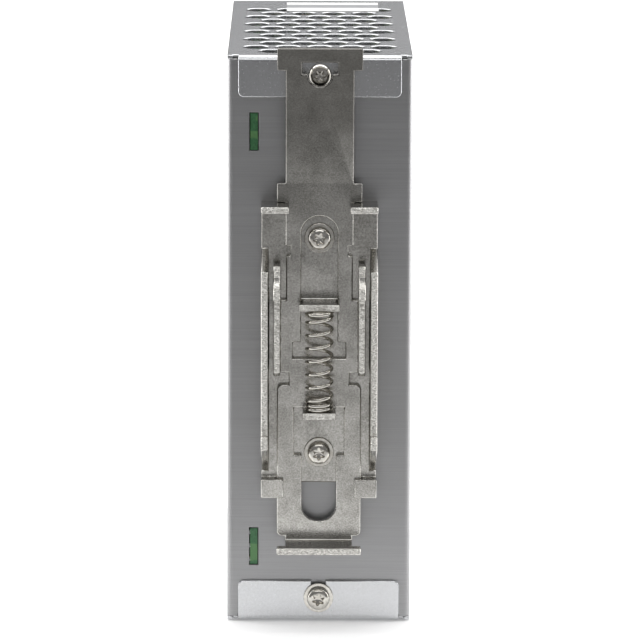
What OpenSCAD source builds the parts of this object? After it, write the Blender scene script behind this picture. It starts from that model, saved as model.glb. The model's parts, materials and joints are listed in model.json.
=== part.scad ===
// DIN rail power supply: a folded sheet case, a spring-loaded rail clip on its back,
// two screw terminal blocks on its front, and the circuit boards inside.
// +Z is up, the terminals face -Y and the rail clip faces +Y.
// The origin is on the surface that the case stands on, under the middle of the whole part.

/* [Case] */
// Width of the case
case_w = 40; // [38:1:60]
// Height of the case
case_h = 125; // [120:1:160]
// Depth of the case, front panel to rear wall
case_d = 101.5; // [98:0.5:130]
// Thickness of the case sheet
case_sheet = 0.8; // [0.6:0.05:1.2]
// Outer radius of the sheet's bends
bend_r = 1.3; // [1.25:0.05:2]
// Width of the tabs folded over the rear wall
tab_w = 35.2; // [30:0.2:36]
// Length of the upper tab
tab_top_len = 9; // [8:0.5:14]
// Length of the lower tab
tab_bottom_len = 9; // [8:0.5:14]
// Corner radius of the tabs
tab_corner_r = 1.2; // [0.5:0.1:3]

/* [Vents] */
// Diameter of one vent hole
vent_d = 5.9; // [4:0.1:6.2]
// Distance between the holes of a row
vent_pitch_x = 6.95; // [6.6:0.05:8]
// Distance between neighbouring rows
vent_pitch_y = 6.8; // [6.2:0.05:8]
// Holes in a long row
vent_cols = 5; // [3:1:5]
// Distance from the rear wall to the first row
vent_first = 7.5; // [6:0.5:10]
// Plain stretch left at the front end of the vents
vent_front_margin = 15; // [12:1:30]

/* [Rail clip] */
// Thickness of the clip's sheet
clip_sheet = 1.5; // [1.2:0.1:1.8]
// Gap between the fixed plate and the sliding plate
slide_gap = 0.1; // [0.05:0.05:0.2]
// Height of the middle of the rail below the middle of the case
rail_drop = 4; // [0:0.5:8]
// How far the rail seat stands off the rear wall
seat_out = 8.5; // [7.5:0.1:10]
// Width of the fixed plate
base_w = 25.2; // [24.6:0.1:28]
// Width of the sliding plate's lower part
slider_w = 18.3; // [17.6:0.1:18.6]
// How far the release handle stands above the case
handle_over = 2.4; // [1:0.1:6]
// Lean of the release handle away from the case, in degrees
handle_lean = 6; // [5:0.5:8]
// Outer diameter of the spring
spring_d = 6.3; // [5:0.1:6.4]
// Wire diameter of the spring
spring_wire = 0.8; // [0.6:0.05:1]
// Turns of the spring
spring_turns = 8; // [6:1:10]

/* [Terminals] */
// How far the terminal blocks stand out of the front panel
block_out = 12; // [12:0.5:14]
// Height of a terminal block
block_h = 18; // [17:0.5:20]
// Distance between the wires of the output block
out_pitch = 7.62; // [7.5:0.01:8]
// Distance between the wires of the mains block
mains_pitch = 9.5; // [8:0.1:10]
// Radius of a wire entry
wire_r = 1.9; // [1.5:0.1:2]
// Travel of a clamping cage
cage_travel = 2.6; // [2:0.1:2.6]

/* [Boards] */
// Thickness of the circuit boards
board_t = 1.6; // [1.2:0.1:2]
// Distance from the middle of the main board to the side of the case
board_from_side = 5.8; // [5:0.1:7]
// Gap between the front panel and the front board
front_board_gap = 5; // [5:0.5:6]

/* [Hidden] */
$fn = 48;
eps = 0.01;

// Gaps between pieces
fit_gap = 0.1;
loose_gap = 0.2;
turn_gap = 0.05;

// Places of the case
clip_out = seat_out + 2.7;
rear_y = (case_d + block_out - clip_out) / 2;
front_y = rear_y - case_d;
inner_y = rear_y - case_sheet;
side_x = case_w / 2;
screw_inset = 4.2;
foot_screw_z = screw_inset + 1.1;
washer_r = 3.25;
washer_t = 0.6;
screw_r = 1.5;
screw_hole_r = 1.55;
plate_hole_r = 1.7;
head_r = 2.5;

// Places of the clip, measured up the rear wall. The rail is a 35 mm top-hat rail.
rail_h = 35;
rail_z = case_h / 2 - rail_drop;
rail_foot_z = rail_z - rail_h / 2;
catch_lap = 2.4;
rail_lip = 1;
lip_gap = 0.3;
rail_clear = 0.2;
seat_head_w = 8.9;
hook_in = seat_out + rail_lip + lip_gap;
flange_out_x = base_w / 2;
base_top_z = rail_z + 34.9;
base_bottom_z = rail_z - 27.2;
upper_screw_z = rail_z + 27;
lower_screw_z = rail_z - 20.4;
stop_z = base_top_z;
shoulder_h = 4.2;
lean_z = stop_z + shoulder_h + 0.4;
seat_tab_z = rail_z + 11.9;
spring_foot_z = rail_z - 10.2;
slider_bottom_z = rail_z - 38.9;
slide_t = clip_sheet + slide_gap;
slide_face = slide_t + clip_sheet;
neck_w = 14.7;
head_w = 18.4;
slot_w = 7.9;
slot_clear = 0.2;
hook_flange_x = 9.95;
spring_gap = 0.15;
spring_t = slide_face + spring_d / 2 + spring_gap;
spring_len = seat_tab_z - spring_foot_z;

// Places of the terminal blocks
cell_w = 6.2;
cell_h = 6.8;
cage_clear = 0.2;
cage_wall = 1.2;
funnel = 0.6;
cage_side = 0.8;
contact_t = 1;
contact_w = 3.9;
driver_r = 2.3;
block_screw_r = 1.5;
block_head_r = 2.1;
block_margin = 0.8;
block_inset = 3.5;
block_depth = block_out + front_board_gap;
block_front_y = front_y - block_out;
head_d = 1.2;
head_h = 1.6;
shelf_d = head_d + head_h;
cavity_step = 0.2;
contact_d = shelf_d + cavity_step + cage_travel + cage_wall + cage_clear;
wire_gap = cage_travel + cage_clear;
cage_front_d = contact_d - fit_gap - cage_wall;
cage_len = 2 * cage_wall + fit_gap + contact_t + wire_gap;
wire_d = contact_d + contact_t + wire_gap / 2;
out_count = 4;
mains_count = 3;
out_mid_z = case_h - block_inset - block_h / 2;
mains_mid_z = block_inset + block_h / 2;

// Places of the boards
board_x = side_x - board_from_side;
board_face = board_x - board_t / 2;
front_board_y = front_y + front_board_gap;
board_front_y = front_board_y + board_t;
board_rear_y = inner_y - loose_gap;
board_tab_inset = 0.15;
tongue_half = 4;
board_foot_z = 6;
board_top_z = case_h - 6;
slot_h = 8.4;
upper_slot_z = case_h - 16.6;
lower_slot_z = 16.6;
lamp_x = 7;
trimmer_x = -7;
knob_z = out_mid_z - block_h / 2 - 8;

steel = [0.62, 0.63, 0.65];
nickel = [0.66, 0.64, 0.61];
bright = [0.8, 0.79, 0.77];
board_green = [0.13, 0.38, 0.22];
block_green = [0.16, 0.45, 0.3];
black = [0.1, 0.1, 0.11];
copper = [0.72, 0.42, 0.2];
alloy = [0.75, 0.76, 0.78];

// ---- Shared shapes ----

// Both sides of a shape that mirrors across the middle plane
module both_sides() {
    children();
    mirror([1, 0, 0]) children();
}

// An outline seen from behind, in x and z, made a sheet that starts t0 off the rear wall
module rear_sheet(t0, thick) {
    translate([0, rear_y + t0 + thick, 0])
        rotate([90, 0, 0]) linear_extrude(thick) children();
}

// An outline seen from the side, in distance off the rear wall and z, made a sheet along +X
module side_sheet(x0, thick) {
    translate([x0, rear_y, 0])
        rotate([90, 0, 90]) linear_extrude(thick) children();
}

// A box given by its lowest and highest corners
module span_box(low, high) {
    translate(low) cube(high - low);
}

// A block centred on x, from z0 up, seen from behind
module centred_rect(w, z0, z1) {
    translate([-w / 2, z0]) square([w, z1 - z0]);
}

// A rectangle with round corners, its low corner at the origin
module round_rect(w, h, r) {
    translate([r, 0]) square([w - 2 * r, h]);
    translate([0, r]) square([w, h - 2 * r]);
    for (x = [r, w - r], y = [r, h - r])
        translate([x, y]) circle(r);
}

// A cylinder along +Y that starts at y0
module y_rod(x, y0, z, r, length) {
    translate([x, y0, z]) rotate([-90, 0, 0]) cylinder(r = r, h = length);
}

// A part that stands on the main board: local z points off the board, local x points up
module on_board(y, z) {
    translate([board_face, y, z]) rotate([0, -90, 0]) children();
}

// ---- Case ----

// Middle of each vent hole, from the rear wall forwards
vent_rows = floor((case_d - vent_first - vent_front_margin) / vent_pitch_y) + 1;
vent_spots = [
    for (row = [0 : vent_rows - 1])
        let (cols = vent_cols - (row + 1) % 2)
            for (col = [0 : cols - 1])
                [(col - (cols - 1) / 2) * vent_pitch_x, rear_y - vent_first - row * vent_pitch_y]
];

module vent_holes(z) {
    for (spot = vent_spots)
        translate([spot[0], spot[1], z - eps])
            cylinder(d = vent_d, h = case_sheet + 2 * eps);
}

// The folded ring of sheet, seen from the side, before its rear wall is cut away
module chassis_ring() {
    ring_d = case_d + case_sheet;
    difference() {
        translate([-case_d, 0]) round_rect(ring_d, case_h, bend_r);
        translate([case_sheet - case_d, case_sheet])
            round_rect(ring_d - 2 * case_sheet, case_h - 2 * case_sheet, bend_r - case_sheet);
    }
}

relief_w = 1.2;
panel_half = side_x - case_sheet - fit_gap;
lip_len = front_board_gap - 0.3;
lip_inset = 6;
side_screw_y = front_y + 2.8;
side_screw_zs = [14, case_h - 14];

module chassis() {
    color(steel) difference() {
        union() {
            // Top, front and bottom
            intersection() {
                side_sheet(-side_x, case_w) chassis_ring();
                span_box([-side_x, front_y - 1, -1], [side_x, rear_y - relief_w, case_h + 1]);
            }
            // Tabs over the rear wall
            intersection() {
                side_sheet(-tab_w / 2, tab_w) chassis_ring();
                rear_sheet(-relief_w, relief_w + case_sheet) {
                    tab_outline(case_h - tab_top_len, case_h + tab_corner_r);
                    tab_outline(-tab_corner_r, tab_bottom_len);
                }
            }
            // Corners of the top and bottom beside the reliefs
            for (z = [0, case_h - case_sheet])
                both_sides()
                    translate([tab_w / 2 + relief_w, rear_y - relief_w - eps, z])
                        cube([side_x - tab_w / 2 - relief_w, relief_w + eps, case_sheet]);
            // Side lips of the front panel
            both_sides()
                span_box([panel_half - case_sheet, front_y + case_sheet - eps, lip_inset],
                         [panel_half, front_y + lip_len, case_h - lip_inset]);
        }
        // The front panel is narrower than the top, so the cover closes beside it
        both_sides()
            span_box([panel_half, front_y - 1, case_sheet],
                     [side_x + 1, front_y + bend_r, case_h - case_sheet]);
        vent_holes(0);
        vent_holes(case_h - case_sheet);
        block_window(out_mid_z, out_count, out_pitch);
        block_window(mains_mid_z, mains_count, mains_pitch);
        y_rod(lamp_x, front_y - 1, knob_z, lamp_r + fit_gap, 3);
        y_rod(trimmer_x, front_y - 1, knob_z, rotor_r + rotor_room, 3);
        y_rod(0, rear_y - 1, case_h - screw_inset, screw_hole_r, 3);
        // Open slot of the lower tab
        y_rod(0, rear_y - 1, foot_screw_z, screw_hole_r, 3);
        span_box([-screw_hole_r, rear_y - 1, foot_screw_z],
                 [screw_hole_r, rear_y + 2, tab_bottom_len + 1]);
        for (z = side_screw_zs)
            translate([-side_x, side_screw_y, z]) rotate([0, 90, 0])
                cylinder(r = screw_hole_r, h = case_w);
    }
}

module tab_outline(z0, z1) {
    translate([-tab_w / 2, z0]) round_rect(tab_w, z1 - z0, tab_corner_r);
}

module block_window(mid_z, count, pitch) {
    half_w = count * pitch / 2 + block_margin + fit_gap;
    half_h = block_h / 2 + fit_gap;
    span_box([-half_w, front_y - 1, mid_z - half_h], [half_w, front_y + 2, mid_z + half_h]);
}

module cover() {
    color(steel) difference() {
        translate([0, front_y, case_sheet]) linear_extrude(case_h - 2 * case_sheet)
            difference() {
                union() {
                    translate([-side_x, 0]) square([case_w, case_d - bend_r]);
                    translate([-side_x, case_d - 4 * bend_r]) round_rect(case_w, 4 * bend_r, bend_r);
                }
                translate([case_sheet - side_x, -1])
                    square([case_w - 2 * case_sheet, case_d - bend_r + 1]);
                translate([case_sheet - side_x, case_d - case_sheet - 4 * bend_r])
                    round_rect(case_w - 2 * case_sheet, 4 * bend_r, bend_r - case_sheet);
            }
        // Room for the bends of the folded tabs
        for (z = [0, case_h - bend_r])
            span_box([-tab_w / 2 - fit_gap, inner_y - 1, z],
                     [tab_w / 2 + fit_gap, rear_y + 1, z + bend_r]);
        for (z = [lower_slot_z, upper_slot_z])
            span_box([board_x - 1, rear_y - 2, z - slot_h / 2], [board_x + 1, rear_y + 1, z + slot_h / 2]);
        for (z = [foot_screw_z, lower_screw_z, upper_screw_z, case_h - screw_inset])
            y_rod(0, rear_y - 2, z, screw_hole_r, 4);
        for (z = side_screw_zs)
            both_sides() translate([side_x - case_sheet, side_screw_y, z])
                rotate([0, 90, 0]) cylinder(r1 = side_neck_r, r2 = side_head_r, h = case_sheet);
        for (z = side_screw_zs)
            both_sides() translate([side_x - 2, side_screw_y, z])
                rotate([0, 90, 0]) cylinder(r = screw_hole_r, h = 3);
    }
}

// A pan-head screw that points into the case, its head's underside t off the rear wall
module rear_screw(z, t, length) {
    head_top = 1.8;
    difference() {
        union() {
            y_rod(0, rear_y + t - length, z, screw_r, length + eps);
            y_rod(0, rear_y + t, z, head_r, head_top - 0.6);
            translate([0, rear_y + t + head_top - 0.6 - eps, z]) rotate([-90, 0, 0])
                cylinder(r1 = head_r, r2 = head_r - 0.8, h = 0.6 + eps);
        }
        for (turn = [0, 90])
            translate([0, rear_y + t + head_top, z]) rotate([0, turn, 0])
                cube([2.8, 2, 0.6], center = true);
    }
}

module case_screws() {
    color(bright) {
        rear_screw(case_h - screw_inset, case_sheet, 5);
        rear_screw(foot_screw_z, case_sheet + washer_t, 5);
    }
}

// Covers the open slot of the lower tab
module case_washer() {
    color(bright) flat_washer(foot_screw_z, case_sheet);
}

module flat_washer(z, t) {
    difference() {
        y_rod(0, rear_y + t, z, washer_r, washer_t);
        y_rod(0, rear_y + t - 1, z, screw_hole_r, washer_t + 2);
    }
}

side_head_r = 2.7;
side_neck_r = 1.9;

module side_screws() {
    color(bright) for (z = side_screw_zs)
        both_sides() translate([side_x - case_sheet, side_screw_y, z]) rotate([0, 90, 0])
            difference() {
                union() {
                    cylinder(r1 = side_neck_r, r2 = side_head_r, h = case_sheet);
                    translate([0, 0, -1.8]) cylinder(r = screw_r, h = 1.8 + eps);
                }
                for (turn = [0, 90])
                    rotate([0, 0, turn]) translate([0, 0, case_sheet]) cube([2.6, 0.6, 1], center = true);
            }
}

label_t = 0.12;

module top_label() {
    color("white") translate([-13.9, front_y + 5, case_h]) linear_extrude(label_t)
        round_rect(21.3, 18, 0.6);
}

module front_label() {
    low = mains_mid_z + block_h / 2 + 6;
    color("gainsboro") translate([-16, front_y, low]) rotate([90, 0, 0]) linear_extrude(label_t)
        round_rect(32, knob_z - 6 - low, 1);
}

// ---- Rail clip ----

// Fixed plate: it carries the rail seat, the lower hooks and the upper spring seat
module clip_base() {
    ledge_out = seat_out + 1;
    ledge_in_x = 6.6;
    seat_neck = slot_w - 2 * slot_clear;
    guide_t = slide_face + slide_gap;
    guide_out = guide_t + clip_sheet;
    guide_in_x = slider_w / 2 - 1.4;
    color(nickel) difference() {
        union() {
            rear_sheet(0, clip_sheet) centred_rect(base_w, base_bottom_z, base_top_z);
            // Ledges that stop and hold the sliding plate
            both_sides() translate([0, rear_y, base_top_z - clip_sheet]) linear_extrude(clip_sheet)
                polygon([[flange_out_x, 0], [flange_out_x, ledge_out], [ledge_in_x, ledge_out],
                         [ledge_in_x, guide_t], [neck_w / 2 + 0.3, guide_t], [neck_w / 2 + 0.3, 0]]);
            // Flanges with the rail seat and the lower hooks
            both_sides() side_sheet(flange_out_x - clip_sheet, clip_sheet) rail_flange();
            // Seat for the upper end of the spring, kept behind the rail
            translate([0, rear_y, seat_tab_z]) linear_extrude(clip_sheet) {
                translate([-seat_neck / 2, 0]) square([seat_neck, seat_out - rail_clear]);
                translate([-seat_head_w / 2, seat_out - rail_clear - 1.8]) square([seat_head_w, 1.8]);
            }
            // Stepped guides in front of the sliding plate's edges
            both_sides() {
                span_box([slider_w / 2 + 0.25, rear_y, base_bottom_z - 0.3],
                         [flange_out_x, rear_y + guide_out, base_bottom_z + 1.2]);
                span_box([guide_in_x, rear_y + guide_t, base_bottom_z - 2.9],
                         [flange_out_x, rear_y + guide_out, base_bottom_z + 1.2]);
            }
        }
        for (z = [lower_screw_z, upper_screw_z])
            y_rod(0, rear_y - 1, z, plate_hole_r, 4);
    }
}

// Side view of a fixed flange, with the hook that takes the rail's lower edge
module rail_flange() {
    polygon([[0, rail_foot_z - 7], [clip_sheet, rail_foot_z - 7], [seat_out - 0.5, rail_foot_z - 3.5],
             [clip_out, rail_foot_z - 0.5], [clip_out, rail_foot_z + catch_lap],
             [hook_in, rail_foot_z + catch_lap], [hook_in, rail_foot_z - lip_gap],
             [seat_out, rail_foot_z - lip_gap], [seat_out, rail_foot_z + 38],
             [clip_sheet, rail_foot_z + 42.2], [0, rail_foot_z + 42.2]]);
}

// Side view of a sliding flange, with the hook that takes the rail's upper edge.
// At rest the hook hangs a little low, so a rail lifts it and the spring stays loaded.
module hook_flange() {
    preload = 1.2;
    catch_z = rail_foot_z + rail_h - preload;
    edge = seat_out - 0.3;
    foot_z = rail_z - 2.5;
    polygon([[slide_t, foot_z], [edge - 1, foot_z], [edge, foot_z + 1], [edge, catch_z],
             [hook_in, catch_z], [hook_in, catch_z - 1.6], [clip_out, catch_z - 1.6],
             [clip_out, catch_z + 0.8], [edge, catch_z + 3], [edge - 1, catch_z + 5.4],
             [slide_face + 0.6, catch_z + 5.4], [slide_face + 0.6, rail_z + 13.5], [slide_t, rail_z + 13.5]]);
}

// Outline of the sliding plate below the release handle, seen from behind
module slider_outline() {
    difference() {
        union() {
            translate([-slider_w / 2, slider_bottom_z])
                round_rect(slider_w, rail_z - 5.2 - slider_bottom_z, 1.1);
            centred_rect(2 * 6.6, rail_z - 6.5, rail_z - 2);
            centred_rect(2 * (hook_flange_x - clip_sheet / 2), rail_z - 2.5, rail_z + 13.5);
            centred_rect(14.4, rail_z + 13, rail_z + 23.2);
            centred_rect(12.6, rail_z + 23, rail_z + 25.5);
            centred_rect(neck_w, rail_z + 25.4, stop_z + slide_gap);
            centred_rect(head_w, stop_z + slide_gap, stop_z + shoulder_h);
            centred_rect(neck_w, stop_z, lean_z);
            // Neck of the thumb lip
            centred_rect(neck_w, slider_bottom_z - 0.9, slider_bottom_z + 2);
        }
        // Slot around the upper screw and the spring seat
        translate([0, upper_screw_z + 1]) circle(d = slot_w);
        centred_rect(slot_w, rail_z + 4.1, upper_screw_z + 1);
        centred_rect(11.4, rail_z + 0.6, rail_z + 4.2);
        // Window and slot around the lower screw
        centred_rect(10.9, rail_z - 20.8, spring_foot_z);
        centred_rect(7.5, slider_bottom_z + 7.1, rail_z - 20.7);
        translate([0, slider_bottom_z + 7.1]) circle(d = 7.5);
    }
}

// Outline of the release handle, from its bend line up, seen square on
module handle_outline() {
    length = (case_h + handle_over - lean_z) / cos(handle_lean);
    screw_up = (case_h - screw_inset - lean_z) / cos(handle_lean);
    difference() {
        union() {
            centred_rect(neck_w, 0, length);
            centred_rect(head_w, length - 4.9, length);
        }
        translate([0, screw_up + 0.9]) circle(r = 2.7);
        centred_rect(7.8, screw_up + 0.9, screw_up + 3.5);
    }
}

module clip_slider() {
    lip_t = clip_sheet;
    lip_top = slider_bottom_z - 0.9;
    color(nickel) {
        rear_sheet(slide_t, clip_sheet) slider_outline();
        // Release handle, leaning off the case so that it clears the screw behind it
        translate([0, rear_y + slide_t, lean_z]) rotate([-handle_lean, 0, 0])
            translate([0, clip_sheet, 0]) rotate([90, 0, 0]) linear_extrude(clip_sheet) handle_outline();
        // Filler of the handle's bend
        translate([0, rear_y + slide_t, lean_z]) intersection() {
            rotate([90, 0, 90]) translate([0, 0, -neck_w / 2])
                cylinder(r = clip_sheet, h = neck_w);
            translate([-neck_w / 2, 0, -clip_sheet]) cube([neck_w, 2 * clip_sheet, 2 * clip_sheet]);
        }
        both_sides() side_sheet(hook_flange_x - clip_sheet, clip_sheet) hook_flange();
        // Seat for the lower end of the spring
        span_box([-3.6, rear_y + slide_t, spring_foot_z - clip_sheet],
                 [3.6, rear_y + seat_out + 1, spring_foot_z]);
        // Thumb lip
        span_box([-neck_w / 2, rear_y + slide_t, lip_top - lip_t], [neck_w / 2, rear_y + clip_out, lip_top]);
        span_box([-slider_w / 2, rear_y + clip_out - 2.8, lip_top - lip_t],
                 [slider_w / 2, rear_y + clip_out, lip_top]);
    }
}

// Points of a wire circle that stands square to the coil's path
function coil_ring(radius, wire, turns, step, sides) =
    let (angle = 360 * turns * step)
        [for (k = [0 : sides - 1])
            let (a = 360 * k / sides, out = radius + wire * cos(a))
                [out * cos(angle), out * sin(angle), wire * sin(a)]];

// A coil of round wire with its ends laid flat
module coil(outer_d, wire_d, length, turns) {
    sides = 8;
    steps = turns * 14;
    wire = wire_d / 2;
    radius = outer_d / 2 - wire;
    flat = 1.1 / turns;
    rise = length - wire_d;
    function eased(s) = s < flat ? 0.35 * s / flat * 0.06
        : s > 1 - flat ? 1 - 0.35 * (1 - s) / flat * 0.06
        : 0.021 + 0.958 * (s - flat) / (1 - 2 * flat);
    points = [for (i = [0 : steps])
        let (s = i / steps)
            for (p = coil_ring(radius, wire, turns, s, sides)) p + [0, 0, wire + rise * eased(s)]];
    walls = [for (i = [0 : steps - 1], k = [0 : sides - 1])
        let (a = i * sides + k, b = i * sides + (k + 1) % sides)
            [a, a + sides, b + sides, b]];
    ends = [[for (k = [0 : sides - 1]) k],
            [for (k = [sides - 1 : -1 : 0]) steps * sides + k]];
    polyhedron(points, concat(walls, ends), convexity = 10);
}

module clip_spring() {
    color(bright) translate([0, rear_y + spring_t, spring_foot_z])
        coil(spring_d, spring_wire, spring_len, spring_turns);
}

module clip_screws() {
    color(bright) for (z = [lower_screw_z, upper_screw_z])
        rear_screw(z, clip_sheet + washer_t, 6);
}

module clip_washers() {
    color(bright) for (z = [lower_screw_z, upper_screw_z])
        flat_washer(z, clip_sheet);
}

// ---- Terminal blocks ----
// A cell is drawn around its screw: d runs inwards from the block's front face.
// up is 1 where the wires come from above and -1 where they come from below.

function pole_x(i, count, pitch) = (i - (count - 1) / 2) * pitch;

module terminal_block(mid_z, count, pitch, up) {
    half_w = count * pitch / 2 + block_margin;
    difference() {
        span_box([-half_w, block_front_y, mid_z - block_h / 2],
                 [half_w, block_front_y + block_depth, mid_z + block_h / 2]);
        for (i = [0 : count - 1])
            translate([pole_x(i, count, pitch), block_front_y, mid_z]) terminal_cell(up);
    }
}

module terminal_cell(up) {
    contact_end = cell_h / 2 + 2.4;
    y_rod(0, -1, 0, driver_r, 1 + shelf_d);
    y_rod(0, 0, 0, block_screw_r + loose_gap, contact_d);
    span_box([-cell_w / 2, shelf_d + cavity_step, -cell_h / 2], [cell_w / 2, block_depth + 1, cell_h / 2]);
    // Wire entry with a funnel
    wires_from(up) {
        translate([0, wire_d, 0]) cylinder(r = wire_r, h = block_h);
        translate([0, wire_d, block_h / 2 - 1]) cylinder(r1 = wire_r, r2 = wire_r + funnel, h = 1 + eps);
        // Way for the contact's tail
        span_box([-contact_w / 2 - fit_gap, contact_d - fit_gap, -contact_end - fit_gap],
                 [contact_w / 2 + fit_gap, block_depth + 1, 0]);
    }
}

// Turns a shape over where the wires come from below
module wires_from(up) {
    if (up > 0) children();
    else mirror([0, 0, 1]) children();
}

// Bars that the screws press on, each with a tail through the front board
module terminal_contacts(mid_z, count, pitch, up) {
    low = -cell_h / 2 - 2.3;
    for (i = [0 : count - 1])
        translate([pole_x(i, count, pitch), block_front_y, mid_z]) wires_from(up) {
            span_box([-contact_w / 2, contact_d, low],
                     [contact_w / 2, contact_d + contact_t, cell_h / 2 - loose_gap]);
            span_box([-contact_w / 2, contact_d, low],
                     [contact_w / 2, block_depth - 0.4, low + contact_t]);
            span_box([-tail_w / 2, block_depth - 0.5, low],
                     [tail_w / 2, block_depth + board_t + 1, low + contact_t]);
        }
}

tail_w = 1.2;

module terminal_screw(i, mid_z, count, pitch) {
    color(bright) translate([pole_x(i, count, pitch), block_front_y, mid_z])
        difference() {
            union() {
                y_rod(0, head_d, 0, block_head_r, head_h - fit_gap);
                y_rod(0, head_d, 0, block_screw_r, contact_d - turn_gap - head_d);
            }
            span_box([-block_head_r - 1, head_d - 1, -0.35], [block_head_r + 1, head_d + 0.9, 0.35]);
        }
}

module terminal_cage(i, mid_z, count, pitch) {
    half_w = cell_w / 2 - cage_clear;
    half_h = cell_h / 2 - cage_clear;
    color(nickel) translate([pole_x(i, count, pitch), block_front_y + cage_front_d, mid_z])
        difference() {
            span_box([-half_w, 0, -half_h], [half_w, cage_len, half_h]);
            span_box([cage_side - half_w, cage_wall, -half_h - 1],
                     [half_w - cage_side, cage_len - cage_wall, half_h + 1]);
            y_rod(0, -1, 0, block_screw_r + turn_gap, cage_wall + 2);
        }
}

module output_block() {
    color(block_green) terminal_block(out_mid_z, out_count, out_pitch, 1);
}
module mains_block() {
    color(black) terminal_block(mains_mid_z, mains_count, mains_pitch, -1);
}
module output_contacts() {
    color(copper) terminal_contacts(out_mid_z, out_count, out_pitch, 1);
}
module mains_contacts() {
    color(copper) terminal_contacts(mains_mid_z, mains_count, mains_pitch, -1);
}
module output_screw(i) {
    terminal_screw(i, out_mid_z, out_count, out_pitch);
}
module output_cage(i) {
    terminal_cage(i, out_mid_z, out_count, out_pitch);
}
module mains_screw(i) {
    terminal_screw(i, mains_mid_z, mains_count, mains_pitch);
}
module mains_cage(i) {
    terminal_cage(i, mains_mid_z, mains_count, mains_pitch);
}

// ---- Boards ----

module main_board() {
    color(board_green) {
        span_box([board_x - board_t / 2, board_front_y, board_foot_z],
                 [board_x + board_t / 2, board_rear_y, board_top_z]);
        // Tabs that sit in the rear wall
        for (z = [lower_slot_z, upper_slot_z])
            span_box([board_x - board_t / 2, board_rear_y - eps, z - slot_h / 2 + loose_gap],
                     [board_x + board_t / 2, rear_y - board_tab_inset, z + slot_h / 2 - loose_gap]);
        // Tongues through the front board
        for (z = tongue_zs)
            span_box([board_x - board_t / 2, front_board_y - 0.6, z - tongue_half],
                     [board_x + board_t / 2, board_front_y + eps, z + tongue_half]);
    }
}

tongue_zs = [case_h / 2 - 20, case_h / 2 + 12];
tail_hole_r = 0.85;
spacer_shank_r = 1.5;
spacer_spots = [[-12, case_h / 2 - 10], [8, case_h / 2 - 10]];

module board_hole(x, z, r) {
    y_rod(x, front_board_y - 1, z, r, board_t + 2);
}

module front_board() {
    half_w = panel_half - case_sheet - 0.4;
    tail_z = cell_h / 2 + 2.3 - contact_t / 2;
    color(board_green) difference() {
        span_box([-half_w, front_board_y, board_foot_z - 1], [half_w, board_front_y, board_top_z + 1]);
        for (z = tongue_zs)
            span_box([board_x - board_t / 2 - fit_gap, front_board_y - 1, z - tongue_half - fit_gap],
                     [board_x + board_t / 2 + fit_gap, board_front_y + 1, z + tongue_half + fit_gap]);
        for (i = [0 : out_count - 1])
            board_hole(pole_x(i, out_count, out_pitch), out_mid_z - tail_z, tail_hole_r);
        for (i = [0 : mains_count - 1])
            board_hole(pole_x(i, mains_count, mains_pitch), mains_mid_z + tail_z, tail_hole_r);
        for (spot = spacer_spots)
            board_hole(spot[0], spot[1], spacer_shank_r + fit_gap);
    }
}

// Spacers pressed into the front panel, each with its screw's shank moulded in
module board_spacers() {
    color("goldenrod") for (spot = spacer_spots) {
        y_rod(spot[0], front_y + case_sheet, spot[1], 2.6, front_board_gap - case_sheet);
        y_rod(spot[0], front_board_y - eps, spot[1], spacer_shank_r, board_t + 0.6);
    }
}

// Film between the solder side of the main board and the cover
module insulation_sheet() {
    film = 0.3;
    x = side_x - case_sheet - 0.3 - film;
    color("ivory") span_box([x, board_front_y, 3], [x + film, board_rear_y - 0.5, case_h - 3]);
}

// ---- Indicator and adjuster ----

lamp_r = 1.5;
rotor_r = 2;
rotor_room = 0.4;
lamp_proud = 0.2;

module status_lamp() {
    color("limegreen") {
        y_rod(lamp_x, front_y - lamp_proud, knob_z, lamp_r, front_board_gap + lamp_proud);
        translate([lamp_x, front_y - lamp_proud, knob_z]) sphere(lamp_r * 0.9);
        y_rod(lamp_x, front_board_y - 3.2, knob_z, lamp_r + 0.45, 3.2);
    }
}

trimmer_depth = 3.2;

module trimmer_body() {
    color("royalblue") difference() {
        span_box([trimmer_x - 3.3, front_board_y - trimmer_depth, knob_z - 3.5],
                 [trimmer_x + 3.3, front_board_y, knob_z + 3.5]);
        y_rod(trimmer_x, front_board_y - trimmer_depth - 1, knob_z, 1.05, trimmer_depth);
    }
}

module trimmer_rotor() {
    face_y = front_y + rotor_room;
    seat_y = front_board_y - trimmer_depth - turn_gap;
    color("white") difference() {
        union() {
            y_rod(trimmer_x, face_y, knob_z, rotor_r, seat_y - face_y);
            y_rod(trimmer_x, seat_y - eps, knob_z, 1, trimmer_depth - 1.4);
        }
        span_box([trimmer_x - 1.5, face_y - 1, knob_z - 0.3], [trimmer_x + 1.5, face_y + 0.7, knob_z + 0.3]);
        span_box([trimmer_x - 0.3, face_y - 1, knob_z - 0.3], [trimmer_x + 0.3, face_y + 0.7, knob_z + 1.6]);
    }
}

// ---- Parts on the main board ----
// Mains parts keep their places from the board's foot, output parts from its top.

input_y = board_front_y + 14;
rear_parts_y = board_rear_y - 14;
choke_mid = [rear_parts_y - 2, board_foot_z + 15];
bulk_mid = [rear_parts_y - 1, case_h / 2 - 17];
core_mid = [(board_front_y + board_rear_y) / 2 + 1, case_h / 2 + 11];
out_parts_z = board_top_z - 12;

// A tube fuse with metal caps, lying up the board
module mains_fuse() {
    color("wheat") on_board(input_y - 8, board_foot_z + 6) translate([0, 0, 3.2])
        rotate([0, 90, 0]) {
            cylinder(r = 2.4, h = 20);
            for (x = [0, 15])
                translate([0, 0, x]) cylinder(r = 2.7, h = 5);
        }
}

module disc_part(r, thick, lead) {
    translate([0, 0, lead + r]) rotate([90, 0, 0]) cylinder(r = r, h = thick, center = true);
    for (x = [-r / 2, r / 2])
        translate([x - 0.4, -0.4, 0]) cube([0.8, 0.8, lead + r / 2]);
}

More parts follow.
